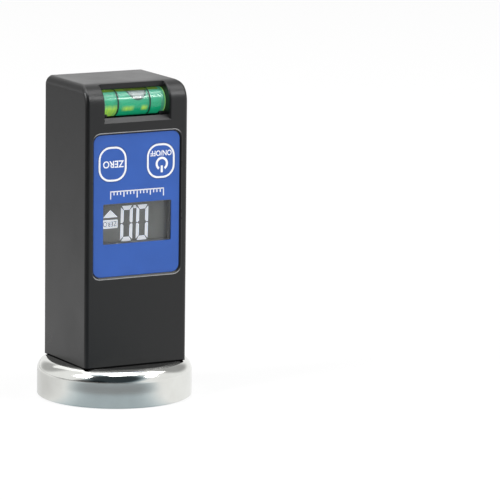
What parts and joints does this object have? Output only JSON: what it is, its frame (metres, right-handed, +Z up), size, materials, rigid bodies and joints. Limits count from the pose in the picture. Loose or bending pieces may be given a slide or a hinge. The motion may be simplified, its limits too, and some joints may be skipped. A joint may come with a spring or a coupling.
{
  "type": "camber caster gauge",
  "caption": "Upright digital wheel alignment gauge: black case with blue key panel, display and level vial on a round magnetic base.",
  "frame": {"origin": "centre of the magnet's contact face, which is the bottom of the gauge", "axes": "+Z up along the case, away from the magnet; -Y out of the display and keys; +X to the right when facing the display"},
  "size_m": [0.06, 0.06, 0.1232],
  "materials": {
    "black_case": "satin moulded plastic with a fine grain",
    "blue_panel": "printed film",
    "blue_key": "printed film over a key",
    "clear_pane": "clear",
    "display_cell": "grey liquid crystal cell",
    "nickel_cup": "bright nickel plating",
    "ferrite": "ground ferrite",
    "black_glue": "cured glue",
    "zinc_steel": "turned and plated",
    "board_green": "coated board",
    "chip_black": "moulded package",
    "switch_grey": "moulded",
    "connector_grey": "striped contact rubber",
    "stem_white": "moulded",
    "cell_jacket": "plain printed jacket",
    "contact_metal": "plated spring steel",
    "vial_clear": "clear acrylic",
    "vial_green": "green fluid",
    "vial_air": "air bubble",
    "line_black": "filled line"
  },
  "bodies": {
    "gauge_body": {"housing": "black_case", "rear_cover": "black_case", "cover_screws": "zinc_steel", "board_screws": "zinc_steel", "overlay_panel": "blue_panel", "power_switch": "switch_grey", "zero_switch": "switch_grey", "display_window": "clear_pane", "display_glass": "display_cell", "display_frame": "chip_black", "display_connectors": "connector_grey", "circuit_board": "board_green", "clock_crystal": "contact_metal", "tilt_sensor": "chip_black", "controller_chip": "chip_black", "battery_left": "cell_jacket", "battery_right": "cell_jacket", "contact_plates": "contact_metal", "battery_springs": "contact_metal", "vial_barrel": "vial_clear", "vial_plugs": "vial_clear", "vial_lines": "line_black", "vial_fluid": "vial_green", "magnet_cup": "nickel_cup", "magnet_ring": "ferrite", "magnet_glue": "black_glue", "hub_disc": "zinc_steel", "hub_washer": "zinc_steel", "hub_screw": "zinc_steel", "hub_nut": "zinc_steel"},
    "power_key_body": {"power_key": "blue_key", "power_plunger": "stem_white"},
    "zero_key_body": {"zero_key": "blue_key", "zero_plunger": "stem_white"},
    "bubble_body": {"vial_bubble": "vial_air"},
    "door_body": {"battery_door": "black_case"}
  },
  "joints": [
    {"name": "power_key_press", "type": "slide", "parent": "gauge_body", "child": "power_key_body", "axis": [0, 1, 0], "range_m": [0, 0.0005], "stiffness_N_per_m": 2400},
    {"name": "zero_key_press", "type": "slide", "parent": "gauge_body", "child": "zero_key_body", "axis": [0, 1, 0], "range_m": [0, 0.0005], "stiffness_N_per_m": 2400},
    {"name": "bubble_travel", "type": "slide", "parent": "gauge_body", "child": "bubble_body", "axis": [1, 0, 0], "range_m": [-0.0087, 0.0045], "stiffness_N_per_m": 1},
    {"name": "battery_door_pull", "type": "slide", "parent": "gauge_body", "child": "door_body", "axis": [0, 1, 0], "range_m": [0, 0.012]}
  ]
}
